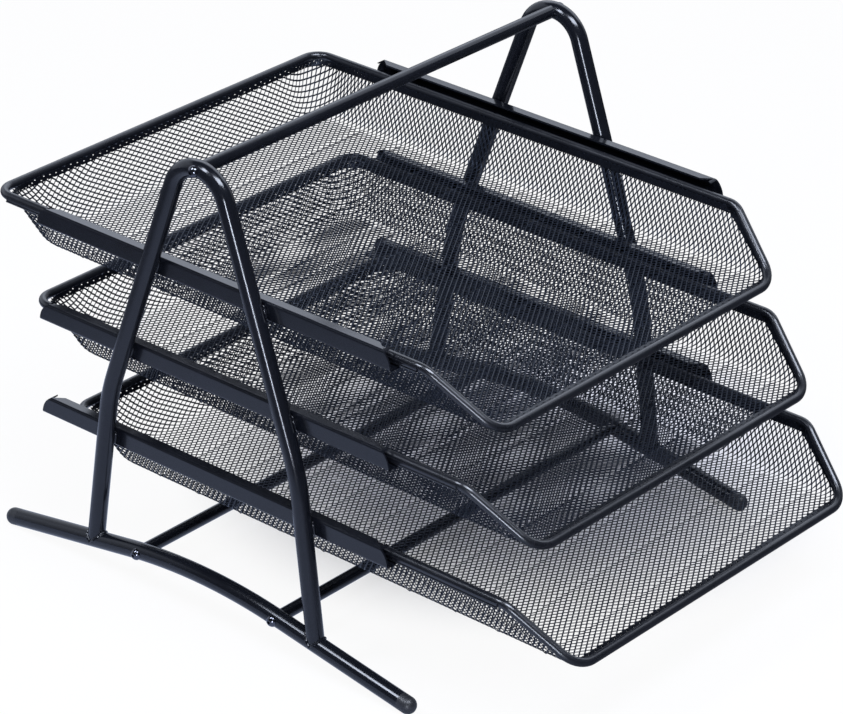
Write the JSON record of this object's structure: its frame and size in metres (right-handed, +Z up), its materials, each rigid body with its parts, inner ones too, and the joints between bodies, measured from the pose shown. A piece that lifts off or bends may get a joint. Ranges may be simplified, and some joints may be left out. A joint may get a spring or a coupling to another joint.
{
  "type": "three-tier mesh letter tray",
  "caption": "Desk letter tray: sheet-mesh trays slide front to back on channel rails between two splayed tube side frames, with a handle bar across the top.",
  "frame": {"origin": "on the desk, under the middle of the whole object as it stands with its trays staggered", "axes": "+Z up, the open fronts of the trays face -Y, X runs across the stand along the handle bar"},
  "size_m": [0.2932, 0.3942, 0.2622],
  "materials": {
    "powder_coat": "satin black",
    "mesh_coat": "satin black",
    "cap_plastic": "moulded black",
    "screw_metal": "black plated"
  },
  "bodies": {
    "stand": {"right_leg_frame": "powder_coat", "left_leg_frame": "powder_coat", "right_runner": "powder_coat", "left_runner": "powder_coat", "right_front_end_cap": "cap_plastic", "right_back_end_cap": "cap_plastic", "left_front_end_cap": "cap_plastic", "left_back_end_cap": "cap_plastic", "handle_bar": "powder_coat", "front_base_bar": "powder_coat", "back_base_bar": "powder_coat", "handle_screws": "screw_metal", "base_bar_screws": "screw_metal", "bottom_right_rail": "powder_coat", "bottom_left_rail": "powder_coat", "middle_right_rail": "powder_coat", "middle_left_rail": "powder_coat", "top_right_rail": "powder_coat", "top_left_rail": "powder_coat"},
    "bottom_tray": {"bottom_tray_rim_wire": "powder_coat", "bottom_tray_mesh_basket": "mesh_coat", "bottom_tray_right_slide_strip": "powder_coat", "bottom_tray_left_slide_strip": "powder_coat"},
    "middle_tray": {"middle_tray_rim_wire": "powder_coat", "middle_tray_mesh_basket": "mesh_coat", "middle_tray_right_slide_strip": "powder_coat", "middle_tray_left_slide_strip": "powder_coat"},
    "top_tray": {"top_tray_rim_wire": "powder_coat", "top_tray_mesh_basket": "mesh_coat", "top_tray_right_slide_strip": "powder_coat", "top_tray_left_slide_strip": "powder_coat"}
  },
  "joints": [
    {"name": "bottom_tray_slide", "type": "slide", "parent": "stand", "child": "bottom_tray", "axis": [0, -1, 0], "range_m": [-0.0546, 0.0954]},
    {"name": "middle_tray_slide", "type": "slide", "parent": "stand", "child": "middle_tray", "axis": [0, -1, 0], "range_m": [-0.0267, 0.1233]},
    {"name": "top_tray_slide", "type": "slide", "parent": "stand", "child": "top_tray", "axis": [0, -1, 0], "range_m": [0, 0.15]}
  ]
}
